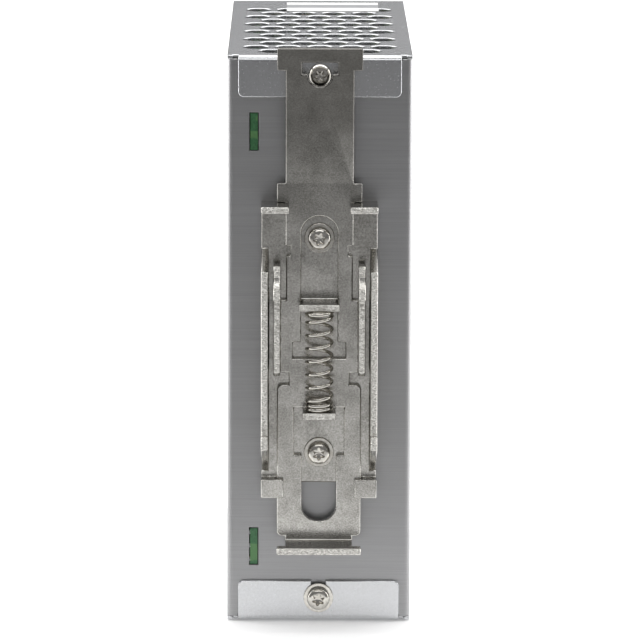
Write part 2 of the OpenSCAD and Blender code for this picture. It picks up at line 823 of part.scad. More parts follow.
module inrush_thermistor() {
    color("darkgreen") on_board(input_y + 3, board_foot_z + 12) disc_part(6.5, 4, 2);
}
module surge_varistor() {
    color("royalblue") on_board(input_y + 12, board_foot_z + 12) disc_part(5, 3.6, 2);
}
module safety_capacitors() {
    color("steelblue") for (y = [-8, 2])
        on_board(input_y + y, board_foot_z + 40) disc_part(4, 3, 2);
}

module mains_capacitor() {
    color("gold") on_board(input_y + 24, board_foot_z + 3) translate([0, -5, 0]) cube([26, 10, 18]);
}

// A ring core that stands on the board, its axis along Y
module ring_core(outer_r, inner_r, thick) {
    translate([0, thick / 2, outer_r + 1.2]) rotate([90, 0, 0]) difference() {
        cylinder(r = outer_r, h = thick);
        translate([0, 0, -1]) cylinder(r = inner_r, h = thick + 2);
    }
}

// Wire wound round a ring core through an arc on each side
module ring_winding(outer_r, inner_r, thick, wire, arc, sides) {
    translate([0, 0, outer_r + 1.2]) rotate([90, 0, 0]) for (side = [0 : sides - 1])
        rotate([0, 0, 360 * side / sides - arc / 2 + 90 * (sides % 2)]) rotate_extrude(angle = arc)
            difference() {
                translate([inner_r - wire, -thick / 2 - wire])
                    square([outer_r - inner_r + 2 * wire, thick + 2 * wire]);
                translate([inner_r - 0.05, -thick / 2 - 0.05])
                    square([outer_r - inner_r + 0.1, thick + 0.1]);
            }
}

module line_choke_core() {
    color(black) on_board(choke_mid[0], choke_mid[1]) ring_core(10.5, 6, 8);
}
module line_choke_windings() {
    color(copper) on_board(choke_mid[0], choke_mid[1]) ring_winding(10.5, 6, 8, 1, 120, 2);
}

module bridge_rectifier() {
    color(black) on_board(input_y + 12, board_foot_z + 40) {
        translate([-11, -2, 3]) cube([22, 4, 14]);
        for (x = [-8, -2.7, 2.7, 8])
            translate([x - 0.5, -0.4, 0]) cube([1, 0.8, 3 + eps]);
    }
}

module bulk_capacitor() {
    r = 11;
    color(black) on_board(bulk_mid[0], bulk_mid[1]) {
        cylinder(r = r, h = 3);
        translate([0, 0, 3 - eps]) cylinder(r = r - 0.4, h = 1.2 + 2 * eps);
        translate([0, 0, 4.2]) cylinder(r = r, h = 23.8);
    }
}

// A flat heatsink with fins along its far edge
module heatsink(width, height, fins) {
    plate = 2.5;
    translate([-width / 2, 0, 0]) cube([width, plate, height]);
    for (i = [0 : fins - 1])
        translate([-width / 2 + i * (width - 1.5) / (fins - 1), plate - eps, 4])
            cube([1.5, 5, height - 4]);
}

module power_package() {
    translate([-5, -4.5, 4]) cube([10, 4.4, 9]);
    translate([-5, -1.4, 13 - eps]) cube([10, 1.3, 6]);
    for (x = [-2.54, 0, 2.54])
        translate([x - 0.4, -3, 0]) cube([0.8, 0.6, 4 + eps]);
}

module input_heatsink() {
    color(alloy) on_board(input_y + 26, case_h / 2 - 17) heatsink(20, 26, 4);
}
module switching_transistor() {
    color(black) on_board(input_y + 26, case_h / 2 - 17) power_package();
}
module output_heatsink() {
    color(alloy) on_board(core_mid[0] + 2, out_parts_z) heatsink(20, 26, 4);
}
module output_rectifier() {
    color(black) on_board(core_mid[0] + 2, out_parts_z) power_package();
}

core_w = 32;
core_d = 27;
core_leg = 7;
bobbin_h = 3;

// Ferrite frame of the transformer, open along Y
module transformer_core() {
    color(black) on_board(core_mid[0], core_mid[1]) translate([0, 0, bobbin_h]) difference() {
        translate([-core_w / 2, -core_d / 4, 0]) cube([core_w, core_d / 2, 25]);
        for (side = [-1, 1])
            translate([side * (core_w / 4 + core_leg / 8) - window_w / 2, -core_d, 5])
                cube([window_w, 2 * core_d, 15]);
    }
}
window_w = core_w / 2 - core_leg - 1;

module transformer_bobbin() {
    color("dimgray") on_board(core_mid[0], core_mid[1]) {
        translate([-core_w / 2, -core_d / 2, 0]) cube([core_w, core_d, bobbin_h]);
        for (side = [-1, 1])
            translate([-6, side * (core_d / 4 + 2.2) - 1.8, bobbin_h - eps]) cube([12, 3.6, 2]);
    }
}

// Wire around the core's middle leg, in the windows and outside them
module transformer_windings() {
    leg = core_w / 2 - window_w / 2 - core_leg;
    reach = core_w / 4 + core_leg / 8 + window_w / 2 - 0.3;
    color("gold") on_board(core_mid[0], core_mid[1]) translate([0, 0, bobbin_h + 5.2]) difference() {
        translate([-reach, -core_d / 2 + 1, 0]) cube([2 * reach, core_d - 2, 14.6]);
        translate([-(reach - window_w + 0.6), -core_d / 4 - 0.2, -1])
            cube([2 * (reach - window_w + 0.6), core_d / 2 + 0.4, 17]);
    }
}

module output_capacitors() {
    color("midnightblue") for (i = [0 : 2])
        on_board(rear_parts_y + 6, out_parts_z + 4 - 11 * i) {
            cylinder(r = 4.6, h = 2);
            translate([0, 0, 2 - eps]) cylinder(r = 4.4, h = 1 + 2 * eps);
            translate([0, 0, 3]) cylinder(r = 4.6, h = 17);
        }
}

choke_spot = [input_y, out_parts_z];
module output_choke_core() {
    color("yellow") on_board(choke_spot[0], choke_spot[1]) ring_core(8.5, 4.5, 7);
}
module output_choke_winding() {
    color(copper) on_board(choke_spot[0], choke_spot[1]) ring_winding(8.5, 4.5, 7, 0.9, 290, 1);
}

module control_chips() {
    color(black) for (spot = [[input_y - 8, case_h / 2 + 2], [input_y - 8, case_h / 2 + 20]])
        on_board(spot[0], spot[1]) {
            translate([-2.5, -2, 0.2]) cube([5, 4, 1.5]);
            translate([-2, -3, 0]) cube([4, 6, 0.3]);
        }
}
module optocouplers() {
    color("snow") for (z = [-4, 10])
        on_board(input_y + 2, case_h / 2 + z) {
            translate([-2.3, -3.2, 0.6]) cube([4.6, 6.4, 3.4]);
            translate([-1.6, -4, 0]) cube([3.2, 8, 0.7]);
        }
}

// ---- Output ----

chassis();
cover();
case_screws();
side_screws();
top_label();
front_label();
case_washer();
clip_base();
clip_slider();
clip_spring();
clip_screws();
clip_washers();
main_board();
front_board();
board_spacers();
insulation_sheet();
output_block();
output_contacts();
output_screw(0);  // output_screw_1
output_screw(1);  // output_screw_2
output_screw(2);  // output_screw_3
output_screw(3);  // output_screw_4
output_cage(0);  // output_cage_1
output_cage(1);  // output_cage_2
output_cage(2);  // output_cage_3
output_cage(3);  // output_cage_4
mains_block();
mains_contacts();
mains_screw(0);  // mains_screw_1
mains_screw(1);  // mains_screw_2
mains_screw(2);  // mains_screw_3
mains_cage(0);  // mains_cage_1
mains_cage(1);  // mains_cage_2
mains_cage(2);  // mains_cage_3
status_lamp();
trimmer_body();
trimmer_rotor();
mains_fuse();
inrush_thermistor();
surge_varistor();
mains_capacitor();
safety_capacitors();
line_choke_core();
line_choke_windings();
bridge_rectifier();
bulk_capacitor();
input_heatsink();
switching_transistor();
transformer_core();
transformer_bobbin();
transformer_windings();
output_heatsink();
output_rectifier();
output_capacitors();
output_choke_core();
output_choke_winding();
control_chips();
optocouplers();
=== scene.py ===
"""DIN rail power supply: finished surfaces, detailed fasteners and the studio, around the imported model."""
import json
import math

import bmesh
import bpy
from mathutils import Matrix, Vector

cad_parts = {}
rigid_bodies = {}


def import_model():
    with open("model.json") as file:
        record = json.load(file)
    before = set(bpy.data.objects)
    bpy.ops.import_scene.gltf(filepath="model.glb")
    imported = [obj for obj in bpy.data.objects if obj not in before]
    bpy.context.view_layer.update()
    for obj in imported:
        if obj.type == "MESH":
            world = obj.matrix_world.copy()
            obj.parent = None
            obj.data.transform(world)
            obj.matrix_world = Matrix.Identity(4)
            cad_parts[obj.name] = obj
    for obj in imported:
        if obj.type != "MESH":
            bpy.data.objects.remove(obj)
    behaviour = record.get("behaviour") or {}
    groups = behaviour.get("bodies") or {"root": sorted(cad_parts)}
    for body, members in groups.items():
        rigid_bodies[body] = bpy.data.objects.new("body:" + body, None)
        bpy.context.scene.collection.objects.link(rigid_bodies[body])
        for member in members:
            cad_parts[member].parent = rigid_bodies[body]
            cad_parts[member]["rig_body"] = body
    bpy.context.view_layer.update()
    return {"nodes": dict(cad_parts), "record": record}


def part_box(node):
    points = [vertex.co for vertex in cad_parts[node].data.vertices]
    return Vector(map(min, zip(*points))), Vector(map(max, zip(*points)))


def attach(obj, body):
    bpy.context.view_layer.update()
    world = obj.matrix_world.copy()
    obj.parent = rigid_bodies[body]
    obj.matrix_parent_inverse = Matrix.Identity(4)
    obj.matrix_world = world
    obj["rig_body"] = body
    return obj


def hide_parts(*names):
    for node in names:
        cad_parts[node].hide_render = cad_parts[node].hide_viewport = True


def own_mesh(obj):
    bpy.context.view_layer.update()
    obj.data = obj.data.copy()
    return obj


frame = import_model()
MM = 0.001

# Places that the pieces and finishes are set out from
rear_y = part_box("cover")[1].y
base_low, base_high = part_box("clip_base")
CLIP_PLATES = 3.1 * MM          # two 1.5 mm plates, one sliding on the other with 0.1 mm between
plates_face = rear_y + CLIP_PLATES
SCREW_HEAD_R_MM = 2.5


# ---- Materials ----

def linear(hex_colour):
    """An sRGB hex colour as linear RGBA."""
    shares = [int(hex_colour[i:i + 2], 16) / 255 for i in (0, 2, 4)]
    return [s / 12.92 if s <= 0.04045 else ((s + 0.055) / 1.055) ** 2.4 for s in shares] + [1]


def add(tree, kind, values=None, **settings):
    """A node with its settings, and its inputs as numbers or links."""
    made = tree.nodes.new(kind)
    for key, value in settings.items():
        setattr(made, key, value)
    for key, value in (values or {}).items():
        if isinstance(value, bpy.types.NodeSocket):
            tree.links.new(value, made.inputs[key])
        else:
            made.inputs[key].default_value = value
    return made


def start(name, **constants):
    """A new material, its node tree and its shader, with what is the same all over set on the shader."""
    made = bpy.data.materials.new(name)
    made.use_nodes = True
    tree = made.node_tree
    shader = tree.nodes["Principled BSDF"]
    for key, value in constants.items():
        shader.inputs[key.replace("_", " ")].default_value = value
    return made, tree, shader


def grain(tree, sizes_mm, detail=3, roughness=0.55):
    """Noise whose specks measure sizes_mm along X, Y and Z."""
    position = add(tree, "ShaderNodeTexCoord").outputs["Object"]
    scale = [1 / (size * MM) for size in sizes_mm]
    set_out = add(tree, "ShaderNodeMapping", {"Vector": position, "Scale": scale}).outputs[0]
    settings = {"Vector": set_out, "Scale": 1, "Detail": detail, "Roughness": roughness}
    return add(tree, "ShaderNodeTexNoise", settings).outputs["Fac"]


def shaded(tree, pattern, low, high, first, second, most=1.0):
    """The first colour, turning to the second by up to most as the pattern goes from low to high. A colour
    is a hex value or what an earlier shading gave."""
    ends = {"Value": pattern, "From Min": low, "From Max": high, "To Max": most}
    share = add(tree, "ShaderNodeMapRange", ends).outputs[0]
    pair = [linear(colour) if isinstance(colour, str) else colour for colour in (first, second)]
    blend = add(tree, "ShaderNodeMix", {0: share, 6: pair[0], 7: pair[1]}, data_type="RGBA")
    return blend.outputs[2]


def roughen(tree, shader, pattern, low, high, rough_low, rough_high):
    """Roughness that goes from rough_low to rough_high as the pattern goes from low to high."""
    ends = {"Value": pattern, "From Min": low, "From Max": high, "To Min": rough_low, "To Max": rough_high}
    tree.links.new(add(tree, "ShaderNodeMapRange", ends).outputs[0], shader.inputs["Roughness"])


def raise_surface(tree, shader, *layers):
    """Raises the surface by the sum of its layers, each a height and its depth in millimetres."""
    total = 0
    for height, depth_mm in layers:
        share = {0: height, 1: depth_mm * MM, 2: total}
        total = add(tree, "ShaderNodeMath", share, operation="MULTIPLY_ADD").outputs[0]
    bump = add(tree, "ShaderNodeBump", {"Height": total, "Distance": 1.0})
    tree.links.new(bump.outputs[0], shader.inputs["Normal"])


def surface(name, dark, light, specks_mm, rough, depth_mm=0.0, detail=3, **constants):
    """A material whose colour, roughness and height follow one grain."""
    made, tree, shader = start(name, **constants)
    specks = grain(tree, specks_mm, detail)
    tree.links.new(shaded(tree, specks, 0.35, 0.65, dark, light), shader.inputs["Base Color"])
    roughen(tree, shader, specks, 0.3, 0.7, *rough)
    if depth_mm:
        raise_surface(tree, shader, (specks, depth_mm))
    return made


def brushed_steel_sheet():
    """Zinc-plated sheet, belt-brushed level all round: streaks a few centimetres long over slow clouds in
    the plating. A belt's lines are under 0.1 mm high; they are drawn 0.22 mm high, so that they show."""
    made, tree, shader = start("brushed_zinc_steel_sheet", Metallic=1.0)
    streaks = grain(tree, (24, 24, 0.22), detail=4, roughness=0.6)
    clouds = grain(tree, (30, 30, 45), detail=1)
    steel = shaded(tree, streaks, 0.3, 0.7, "a0a0a1", "b0b0b1")
    colour = shaded(tree, clouds, 0.35, 0.65, steel, "a2a2a2", most=0.35)
    tree.links.new(colour, shader.inputs["Base Color"])
    roughen(tree, shader, streaks, 0.3, 0.7, 0.38, 0.5)
    raise_surface(tree, shader, (streaks, 0.004))
    return made


def rolled_zinc_sheet():
    """Zinc-plated sheet as rolled: a soft sheen with a faint, fine mottle and no brushing."""
    made, tree, shader = start("rolled_zinc_steel_sheet", Metallic=1.0)
    mottle = grain(tree, (0.5, 0.5, 0.5), detail=3)
    clouds = grain(tree, (9, 9, 9), detail=2)
    fine = shaded(tree, mottle, 0.3, 0.7, "cbcccd", "d9dadc")
    colour = shaded(tree, clouds, 0.3, 0.7, fine, "d0d1d3", most=0.4)
    tree.links.new(colour, shader.inputs["Base Color"])
    roughen(tree, shader, mottle, 0.3, 0.7, 0.255, 0.275)
    return made


def nickel_plated_pressing():
    """Barrel-plated spring steel: warm grey nickel, peppered by the tumbling, cloudy where the parts lay
    on each other and faintly wavy from the press; painted shade darkens it up the release handle."""
    made, tree, shader = start("barrel_nickel_plate", Metallic=1.0)
    pepper = grain(tree, (0.3, 0.3, 0.3), detail=3, roughness=0.7)
    clouds = grain(tree, (6, 6, 6), detail=5, roughness=0.65)
    dents = grain(tree, (14, 14, 18), detail=1)
    bright = shaded(tree, pepper, 0.35, 0.65, "b0aea8", "e0ded9")
    dull = shaded(tree, pepper, 0.35, 0.65, "8c8a85", "c4c2bc")
    cloudy = shaded(tree, clouds, 0.4, 0.6, bright, dull, most=0.7)
    position = add(tree, "ShaderNodeTexCoord").outputs["Object"]
    height = add(tree, "ShaderNodeSeparateXYZ", {0: position}).outputs["Z"]
    # Painted shade: the colour darkens from the handle's foot to its top, in place of the darker
    # surroundings that the tilted handle reflects.
    handle_foot, handle_top = 88 * MM, 112 * MM
    painted_handle_shade = shaded(tree, height, handle_foot, handle_top, cloudy, "5c5a56", most=0.75)
    tree.links.new(painted_handle_shade, shader.inputs["Base Color"])
    roughen(tree, shader, clouds, 0.3, 0.7, 0.14, 0.26)
    raise_surface(tree, shader, (pepper, 0.012), (dents, 0.35))
    return made


def torn_sheet_edge():
    """The cut edge of a pressing: a punch shears the first part and tears the rest, so nickel lies over
    pits and ridges that run across the sheet."""
    made, tree, shader = start("torn_pressing_edge", Metallic=1.0)
    pits = grain(tree, (0.5, 0.4, 0.22), detail=4, roughness=0.75)
    tree.links.new(shaded(tree, pits, 0.4, 0.55, "9a9791", "f8f6f0"), shader.inputs["Base Color"])
    roughen(tree, shader, pits, 0.35, 0.65, 0.38, 0.18)
    raise_surface(tree, shader, (pits, 0.16))
    return made


def bright_nickel():
    """Bright nickel on turned steel: clear reflections with faint turning marks."""
    return surface("bright_nickel_plate", "c4c0b8", "dedbd4", (0.6, 0.6, 0.6), (0.1, 0.2), 0.004,
                   Metallic=1.0)


def drawn_spring_wire():
    """Nickel-plated spring wire, drawn, so it is bright with fine lengthwise lines."""
    return surface("nickel_spring_wire", "bdb9b0", "e0ddd6", (0.3, 0.3, 0.15), (0.12, 0.24), 0.004,
                   Metallic=1.0)


def glass_epoxy_board():
    """Glass-epoxy laminate: green mask over copper lands, and the glass weave showing as 0.5 mm specks."""
    made, tree, shader = start("glass_epoxy_board", Coat_Weight=0.3, Coat_Roughness=0.2)
    lands = grain(tree, (10, 5, 5), detail=1)
    weave = grain(tree, (0.5, 0.5, 0.5), detail=2)
    mask = shaded(tree, weave, 0.3, 0.7, "2c5c38", "3f7a4b")
    colour = shaded(tree, lands, 0.5, 0.53, mask, "6b9a5c", most=0.5)
    tree.links.new(colour, shader.inputs["Base Color"])
    roughen(tree, shader, weave, 0.3, 0.7, 0.3, 0.45)
    raise_surface(tree, shader, (weave, 0.02))
    return made


def printed_film(name, ink_rows):
    """White polyester label film, screen-printed with plain bars of ink. Each row of ink has the shares of
    the label's length where it starts and ends, and its colour."""
    made, tree, shader = start(name, IOR=1.5)
    low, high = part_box(name)
    lies_flat = high.z - low.z < 1 * MM
    along = 1 if lies_flat else 2
    position = add(tree, "ShaderNodeTexCoord").outputs["Object"]
    axes = add(tree, "ShaderNodeSeparateXYZ", {"Vector": position}).outputs
    fibres = grain(tree, (0.6, 0.6, 0.6), detail=2)
    colour = shaded(tree, fibres, 0.35, 0.65, "e4e4e1", "efefed")
    span = high[along] - low[along]
    for start_share, end_share, ink in ink_rows:
        starts, ends = low[along] + span * start_share, low[along] + span * end_share
        past_start = add(tree, "ShaderNodeMath", {0: axes[along], 1: starts}, operation="GREATER_THAN")
        short_of_end = add(tree, "ShaderNodeMath", {0: axes[along], 1: ends}, operation="LESS_THAN")
        both = {0: past_start.outputs[0], 1: short_of_end.outputs[0]}
        inside = add(tree, "ShaderNodeMath", both, operation="MULTIPLY").outputs[0]
        colour = shaded(tree, inside, 0, 1, colour, ink)
    tree.links.new(colour, shader.inputs["Base Color"])
    roughen(tree, shader, fibres, 0.3, 0.7, 0.35, 0.5)
    return made


def wound_wire(name, dark, light, wire_mm):
    """Enamelled wire laid side by side: a rounded ridge for each turn."""
    made, tree, shader = start(name, Metallic=0.85, Coat_Weight=0.5, Coat_Roughness=0.15)
    position = add(tree, "ShaderNodeTexCoord").outputs["Object"]
    one_band = 2 * math.pi / 20     # the width of a wave texture's band at a scale of 1
    turns = {"Vector": position, "Scale": one_band / (wire_mm * MM), "Distortion": 0.3, "Detail": 1}
    ridge = add(tree, "ShaderNodeTexWave", turns, bands_direction="Y").outputs["Fac"]
    tree.links.new(shaded(tree, ridge, 0.1, 0.8, dark, light), shader.inputs["Base Color"])
    roughen(tree, shader, ridge, 0, 1, 0.4, 0.22)
    raise_surface(tree, shader, (ridge, 0.3 * wire_mm))
    return made


steel_sheet = brushed_steel_sheet()
zinc_sheet = rolled_zinc_sheet()
clip_plate = nickel_plated_pressing()
torn_edge = torn_sheet_edge()
nickel = bright_nickel()
spring_wire = drawn_spring_wire()
board = glass_epoxy_board()

# Moulded polyamide of terminal blocks: a dry, matt skin with a spark-eroded texture of about 0.2 mm
EROSION = (0.2, 0.2, 0.2)
green_polyamide = surface("green_polyamide", "1f5b40", "276b4c", EROSION, (0.45, 0.6), 0.01, IOR=1.53)
black_polyamide = surface("black_polyamide", "161617", "202022", EROSION, (0.42, 0.58), 0.01, IOR=1.53)
# Moulded natural polyamide: milky and half glossy
white_nylon = surface("white_nylon", "dcdbd4", "e8e7e1", (0.3, 0.3, 0.3), (0.35, 0.5), 0.006, IOR=1.53)
# Transfer-moulded epoxy of chips and packages: dark grey, faintly sandy
package_epoxy = surface("moulded_epoxy", "1b1b1d", "29292b", (0.15, 0.15, 0.15), (0.5, 0.65), 0.01,
                        IOR=1.55)
# Dipped epoxy: glossy, with slow thickness changes
blue_dip = surface("blue_dipped_epoxy", "1c3f86", "2a57a6", (1.5, 1.5, 1.5), (0.15, 0.3), 0.03, IOR=1.55)
green_dip = surface("green_dipped_epoxy", "23422b", "31583a", (1.5, 1.5, 1.5), (0.3, 0.45), 0.03,
                    IOR=1.55)
# Shrunk PVC sleeve of electrolytic capacitors: tight, dark and half glossy
dark_sleeve = surface("dark_pvc_sleeve", "14171d", "1e222b", (2, 2, 6), (0.25, 0.38), 0.01, IOR=1.54)
# Sintered manganese-zinc ferrite: charcoal, finely porous
ferrite = surface("sintered_ferrite", "1f1f21", "38383a", (0.25, 0.25, 0.25), (0.45, 0.7), 0.02,
                  Specular_IOR_Level=0.8)
# Pressed iron powder under sprayed epoxy: an opaque yellow coat over the powder's bumps
yellow_iron_powder = surface("coated_iron_powder", "c9a52a", "e0bd42", (0.4, 0.4, 0.4), (0.4, 0.6), 0.02)
# Polyester tape, wound: warm yellow and slightly glossy
yellow_tape = surface("yellow_polyester_tape", "cf9f1e", "e2b83a", (3, 3, 0.8), (0.25, 0.38), 0.02,
                      IOR=1.6)
# Moulded polyester box of a film capacitor: even yellow with a low sheen
box_film = surface("moulded_yellow_box", "cfa536", "deb74d", (0.4, 0.4, 0.4), (0.3, 0.45), 0.01, IOR=1.5)
# Moulded phenolic resin: brown-black and fairly matt
smoky_bobbin = surface("phenolic_bobbin", "2b2927", "3b3835", (0.3, 0.3, 0.3), (0.4, 0.55), 0.01,
                       IOR=1.55)
# Extruded, etched aluminium: satin, with lines along the extrusion
extrusion = surface("extruded_aluminium", "b3b6b9", "cdd0d2", (0.15, 6, 6), (0.28, 0.42), 0.01,
                    Metallic=1.0)
# Dip-tinned copper: warm white, with soft runs in the tin
tinned_copper = surface("tinned_copper", "b7b3a9", "d2cec4", (0.5, 0.5, 0.5), (0.22, 0.38), 0.01,
                        Metallic=1.0)
# Brass turned from bar: yellow, with fine marks round the piece
turned_brass = surface("turned_brass", "b08d45", "cfae66", (0.8, 0.12, 0.8), (0.2, 0.32), 0.006,
                       Metallic=1.0)
# Glazed ceramic tube: cream and smooth
ceramic_fuse = surface("ceramic_fuse_tube", "d8d2c2", "e6e0d1", (0.6, 0.6, 0.6), (0.25, 0.4), 0.01,
                       IOR=1.6)
# Rolled polyester film: clear, slightly yellow, with slow waves
clear_film = surface("insulating_film", "d9d2b6", "e6e0c8", (1, 8, 8), (0.2, 0.35), 0.01, IOR=1.57,
                     Alpha=0.85)
# Moulded, dyed epoxy lens: polished and letting light in
lamp_lens = surface("green_lamp_lens", "3fae4e", "56c764", (1, 1, 1), (0.08, 0.16), 0.004,
                    IOR=1.5, Transmission_Weight=0.6)
copper_winding = wound_wire("enamelled_copper_wire", "6b2f12", "c4713a", 1.0)


# ---- Pieces ----

def place(piece, body, slot, *replaced):
    """Hands a finished piece to its body and hides the nodes it stands for."""
    if piece.name not in bpy.context.scene.collection.objects:
        bpy.context.scene.collection.objects.link(piece)
    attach(piece, body)
    if replaced:
        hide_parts(*replaced)
    return piece


def body_of(node):
    """The moving or fixed body that a node belongs to."""
    return frame["nodes"][node]["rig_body"]


def slot_of(node):
    """The material slot that the record gives a node."""
    return next(part["material_slot"] for part in frame["record"]["subparts"] if part["node"] == node)


def faces_the_rail(face):
    """True on the cut edges that stand off the plates and look away from the case, up to the ledges.
    The lower hooks and guides are burnished by the rail and the sliding plate, so they are left out."""
    clear_of_plates, past_ledges = 1 * MM, 1 * MM
    hooks_from, hooks_to = base_low.z - 4 * MM, base_low.z + 12.5 * MM
    middle = face.calc_center_median()
    stands_off = face.normal.y > 0.9 and middle.y > plates_face + clear_of_plates
    return stands_off and middle.z < base_high.z + past_ledges and not hooks_from < middle.z < hooks_to


def softened(node, name, finish, edge_mm, cut_edges=None, sheet=False):
    """The node's own shape with its edges broken, as deburred or moulded ones are. A pressing also has a
    finish for its cut edges, and a sheet's edges keep their width where they lie close together."""
    shape = bmesh.new()
    shape.from_mesh(frame["nodes"][node].data)
    bmesh.ops.remove_doubles(shape, verts=shape.verts, dist=1e-6)
    bmesh.ops.dissolve_limit(shape, angle_limit=math.radians(0.5), verts=shape.verts, edges=shape.edges)
    for face in shape.faces:
        face.smooth = not cut_edges
        face.material_index = 1 if cut_edges and faces_the_rail(face) else 0
    mesh = bpy.data.meshes.new(name)
    shape.to_mesh(mesh)
    shape.free()
    mesh.set_sharp_from_angle(angle=math.radians(30))
    mesh.materials.append(finish)
    if cut_edges:
        mesh.materials.append(cut_edges)
    piece = bpy.data.objects.new(name, mesh)
    bevel = piece.modifiers.new("broken edges", "BEVEL")
    bevel.width = edge_mm * MM
    bevel.segments = 2
    bevel.limit_method = "ANGLE"
    bevel.angle_limit = math.radians(40)
    bevel.use_clamp_overlap = not sheet
    bevel.loop_slide = False
    piece.modifiers.new("flat faces stay flat", "WEIGHTED_NORMAL").keep_sharp = True
    return place(piece, body_of(node), slot_of(node), node)


def ring(shape, radius, height, lobes=0, depth=0.0):
    """A loop of edges round Z. Lobes push it in and out, as on a star recess."""
    verts = bmesh.ops.create_circle(shape, segments=48, radius=radius)["verts"]
    for vert in verts:
        swell = 1 + depth * math.cos(lobes * math.atan2(vert.co.y, vert.co.x))
        vert.co = Vector((vert.co.x * swell, vert.co.y * swell, height))
    return list({edge for vert in verts for edge in vert.link_edges})


def turned(profile):
    """A closed turned shape from rings (radius, height, lobes, depth) in millimetres, standing on Z."""
    shape = bmesh.new()
    loops = [ring(shape, radius * MM, height * MM, lobes, depth)
             for radius, height, lobes, depth in profile]
    for lower, upper in zip(loops, loops[1:]):
        bmesh.ops.bridge_loops(shape, edges=lower + upper)
    for end in (loops[0], loops[-1]):
        bmesh.ops.contextual_create(shape, geom=end)
    bmesh.ops.recalc_face_normals(shape, faces=shape.faces)
    return shape


def fastener_group(name, profile, spots, finish, node):
    """Copies of a turned shape along +Y, one at each spot, as one piece."""
    mesh = bpy.data.meshes.new(name)
    whole = bmesh.new()
    for x, y, z, turn in spots:
        one = turned(profile)
        spot = Matrix.Translation((x, y, z)) @ Matrix.Rotation(math.radians(-90), 4, "X")
        turned_round = spot @ Matrix.Rotation(math.radians(turn), 4, "Z")
        bmesh.ops.transform(one, matrix=turned_round, verts=one.verts)
        scratch = bpy.data.meshes.new("scratch")
        one.to_mesh(scratch)
        one.free()
        whole.from_mesh(scratch)
        bpy.data.meshes.remove(scratch)
    for face in whole.faces:
        face.smooth = True
    whole.to_mesh(mesh)
    whole.free()
    mesh.set_sharp_from_angle(angle=math.radians(35))
    mesh.materials.append(finish)
    return place(bpy.data.objects.new(name, mesh), body_of(node), slot_of(node), node)


def star_screw(length):
    """The rings of a pan-head M3 screw with a six-lobed recess: its head sits on height 0."""
    shank = [(1.2, -length, 0, 0), (1.48, 0.4 - length, 0, 0), (1.48, 0, 0, 0)]
    head = [(SCREW_HEAD_R_MM, 0, 0, 0), (SCREW_HEAD_R_MM, 0.75, 0, 0), (2.42, 1.15, 0, 0),
            (2.2, 1.48, 0, 0), (1.85, 1.7, 0, 0), (1.6, 1.78, 0, 0)]
    recess = [(1.22, 1.8, 6, 0.2), (1.16, 1.72, 6, 0.22), (1.02, 0.75, 6, 0.22), (0.5, 0.55, 6, 0.05)]
    return shank + head + recess


# Case and clip
softened("cover", "brushed_rear_cover", steel_sheet, 0.14, sheet=True)
softened("chassis", "vented_folded_chassis", zinc_sheet, 0.18, sheet=True)
softened("clip_base", "fixed_clip_plate", clip_plate, 0.26, torn_edge, sheet=True)
softened("clip_slider", "sliding_clip_plate", clip_plate, 0.26, torn_edge, sheet=True)
softened("clip_washers", "flat_clip_washers", nickel, 0.12)
softened("case_washer", "flat_case_washer", nickel, 0.12)

# Screws: the upper case screw's head stands on its tab, and the other three on their washers
tab_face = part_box("chassis")[1].y
clip_washer_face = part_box("clip_washers")[1].y
case_washer_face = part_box("case_washer")[1].y
for node, name, length, upper_face, lower_face, turns in (
        ("clip_screws", "clip_plate_screws", 6, clip_washer_face, clip_washer_face, (12, 30)),
        ("case_screws", "tab_screws", 5, tab_face, case_washer_face, (5, 20))):
    low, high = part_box(node)
    upper_z, lower_z = high.z - SCREW_HEAD_R_MM * MM, low.z + SCREW_HEAD_R_MM * MM
    spots = [(0, upper_face, upper_z, turns[0]), (0, lower_face, lower_z, turns[1])]
    fastener_group(name, star_screw(length), spots, nickel, node)


def coil_spring():
    """The return spring, wound turn by turn: closed turns at both ends and open ones between."""
    low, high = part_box("clip_spring")
    wire_r = 0.4 * MM
    middle = (low + high) / 2
    radius = (high.x - low.x) / 2 - wire_r
    closed_pitch = 2.1 * wire_r
    foot_turns, head_turns, open_turns = 2, 1, 6.5
    height = high.z - low.z - 2 * wire_r
    open_pitch = (height - closed_pitch * (foot_turns + head_turns)) / open_turns
    shape = bmesh.new()
    verts = bmesh.ops.create_circle(shape, segments=10, radius=wire_r)["verts"]
    foot = Matrix.Translation((middle.x + radius, middle.y, low.z + wire_r))
    bmesh.ops.transform(shape, matrix=foot @ Matrix.Rotation(math.pi / 2, 4, "X"), verts=verts)
    wire_end = list({edge for vert in verts for edge in vert.link_edges})
    bmesh.ops.contextual_create(shape, geom=wire_end)
    steps_per_turn = 28
    front = list(verts) + wire_end
    stretches = ((foot_turns, closed_pitch), (open_turns, open_pitch), (head_turns, closed_pitch))
    for turns, pitch in stretches:
        made = bmesh.ops.spin(shape, geom=front, cent=(middle.x, middle.y, 0), axis=(0, 0, 1),
                              dvec=(0, 0, pitch / steps_per_turn), angle=2 * math.pi * turns,
                              steps=round(turns * steps_per_turn), use_duplicate=False)
        front = made["geom_last"]
    last_edges = [part for part in front if isinstance(part, bmesh.types.BMEdge)]
    bmesh.ops.contextual_create(shape, geom=last_edges)
    bmesh.ops.recalc_face_normals(shape, faces=shape.faces)
    for face in shape.faces:
        face.smooth = len(face.verts) == 4
    mesh = bpy.data.meshes.new("coil_return_spring")
    shape.to_mesh(mesh)
    shape.free()
    mesh.materials.append(spring_wire)
    piece = bpy.data.objects.new("coil_return_spring", mesh)
    place(piece, "case", slot_of("clip_spring"), "clip_spring")
    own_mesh(piece)


coil_spring()

# Terminals
softened("output_block", "output_terminal_housing", green_polyamide, 0.25)
softened("mains_block", "mains_terminal_housing", black_polyamide, 0.25)
for node in frame["nodes"]:
    if "_screw_" in node:
        softened(node, "clamp_" + node, nickel, 0.12)
    elif "_cage_" in node:
        softened(node, "rising_" + node, clip_plate, 0.12)

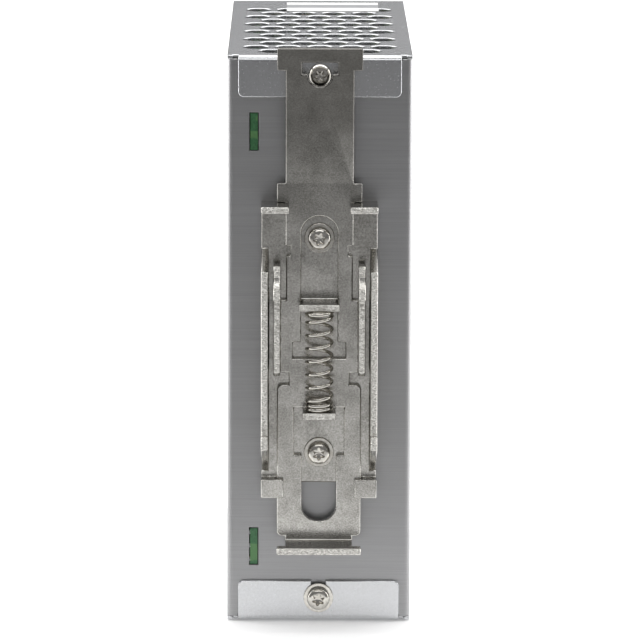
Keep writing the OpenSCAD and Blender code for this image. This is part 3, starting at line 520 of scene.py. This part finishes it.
# Pieces that keep the shape of their node but for broken edges: the finish and the edge's width in mm
finished = {
    "side_screws": (nickel, 0.05), "output_contacts": (tinned_copper, 0.08),
    "mains_contacts": (tinned_copper, 0.08), "main_board": (board, 0.05),
    "front_board": (board, 0.05), "board_spacers": (turned_brass, 0.12),
    "insulation_sheet": (clear_film, 0.05), "status_lamp": (lamp_lens, 0.1),
    "trimmer_body": (blue_dip, 0.15), "trimmer_rotor": (white_nylon, 0.12),
    "mains_fuse": (ceramic_fuse, 0.2), "inrush_thermistor": (green_dip, 0.5),
    "surge_varistor": (blue_dip, 0.5), "mains_capacitor": (box_film, 0.4),
    "safety_capacitors": (blue_dip, 0.5), "line_choke_core": (ferrite, 0.5),
    "line_choke_windings": (copper_winding, 0.3), "bridge_rectifier": (package_epoxy, 0.25),
    "bulk_capacitor": (dark_sleeve, 0.5), "input_heatsink": (extrusion, 0.12),
    "switching_transistor": (package_epoxy, 0.15), "transformer_core": (ferrite, 0.35),
    "transformer_bobbin": (smoky_bobbin, 0.25), "transformer_windings": (yellow_tape, 0.6),
    "output_heatsink": (extrusion, 0.12), "output_rectifier": (package_epoxy, 0.15),
    "output_capacitors": (dark_sleeve, 0.4), "output_choke_core": (yellow_iron_powder, 0.4),
    "output_choke_winding": (copper_winding, 0.3), "control_chips": (package_epoxy, 0.08),
    "optocouplers": (white_nylon, 0.12),
}
for node, (finish, edge) in finished.items():
    softened(node, "finished_" + node, finish, edge)

GREY_INK, DARK_INK = "8f9092", "4a4a4c"
for node, rows in (
        ("top_label", [(0.28, 0.62, GREY_INK), (0.0, 0.035, DARK_INK), (0.965, 1.0, DARK_INK)]),
        ("front_label", [(0.82, 0.9, GREY_INK), (0.12, 0.14, GREY_INK), (0.5, 0.51, GREY_INK)])):
    softened(node, "blank_" + node, printed_film(node, rows), 0.03)


# ---- Studio ----

def graded_paint():
    """A light table: matt white, faintly lit from below, going to grey on the rail side, past what the
    camera sees. The plates mirror that side, so the grey is what gives them their tone."""
    made, tree, shader = start("matt_paint", Roughness=0.85)
    position = add(tree, "ShaderNodeTexCoord").outputs["Object"]
    along = add(tree, "ShaderNodeSeparateXYZ", {0: position}).outputs["Y"]
    near_grey = shaded(tree, along, 0.07, 0.22, "f0f0f0", "b2b2b2")
    far_grey = shaded(tree, along, 0.4, 0.55, near_grey, "848484")
    tree.links.new(far_grey, shader.inputs["Base Color"])
    shader.inputs["Emission Color"].default_value = (1, 1, 1, 1)
    glow = {"Value": along, "From Min": 0.05, "From Max": 0.12, "To Min": 0.2, "To Max": 0}
    tree.links.new(add(tree, "ShaderNodeMapRange", glow).outputs[0], shader.inputs["Emission Strength"])
    return made


def pale_floor():
    """A wide, pale, matt floor."""
    shape = bmesh.new()
    bmesh.ops.create_grid(shape, x_segments=8, y_segments=8, size=6)
    mesh = bpy.data.meshes.new("studio_floor")
    shape.to_mesh(mesh)
    shape.free()
    mesh.materials.append(graded_paint())
    piece = bpy.data.objects.new("studio_floor", mesh)
    bpy.context.scene.collection.objects.link(piece)
    piece.location.z = -0.2 * MM


def softbox(name, place_m, aim_m, width, height, watts):
    """A flat rectangular light, aimed at a point."""
    data = bpy.data.lights.new(name, "AREA")
    data.shape = "RECTANGLE"
    data.size = width
    data.size_y = height
    data.energy = watts
    lamp = bpy.data.objects.new(name, data)
    lamp.location = place_m
    lamp.rotation_euler = (Vector(aim_m) - Vector(place_m)).to_track_quat("-Z", "Y").to_euler()
    bpy.context.scene.collection.objects.link(lamp)


def studio_camera():
    """A long lens a metre behind the rail side, ten degrees above level."""
    data = bpy.data.cameras.new("camera")
    data.sensor_width = 36
    data.lens = 271.1
    data.clip_start = 0.01
    camera = bpy.data.objects.new("camera", data)
    tilt = Matrix.Rotation(math.radians(90 - 10.512), 4, "X")
    turn = Matrix.Rotation(math.radians(180 - 0.265), 4, "Z")
    roll = Matrix.Rotation(math.radians(0.191), 4, "Z")
    camera.matrix_world = Matrix.Translation(Vector((4.6, 1081.65, 258.3)) * MM) @ turn @ tilt @ roll
    bpy.context.scene.collection.objects.link(camera)
    bpy.context.scene.camera = camera


pale_floor()
studio_camera()
softbox("overhead softbox", (0, -1.0, 1.3), (0, -1.0, 0), 2.4, 2.4, 47)
softbox("rail-side softbox", (0, 1.3, 1.5), (0, 0, 0.06), 1.6, 0.7, 6)
for side in (-1, 1):
    softbox(f"side panel {side}", (side * 0.75, -0.2, 0.3), (0, -0.2, 0.3), 0.6, 0.6, 4.5)

world = bpy.context.scene.world or bpy.data.worlds.new("studio air")
bpy.context.scene.world = world
world.use_nodes = True
world.node_tree.nodes["Background"].inputs["Color"].default_value = linear("828283")
world.node_tree.nodes["Background"].inputs["Strength"].default_value = 1.0
bpy.context.scene.view_settings.view_transform = "Standard"
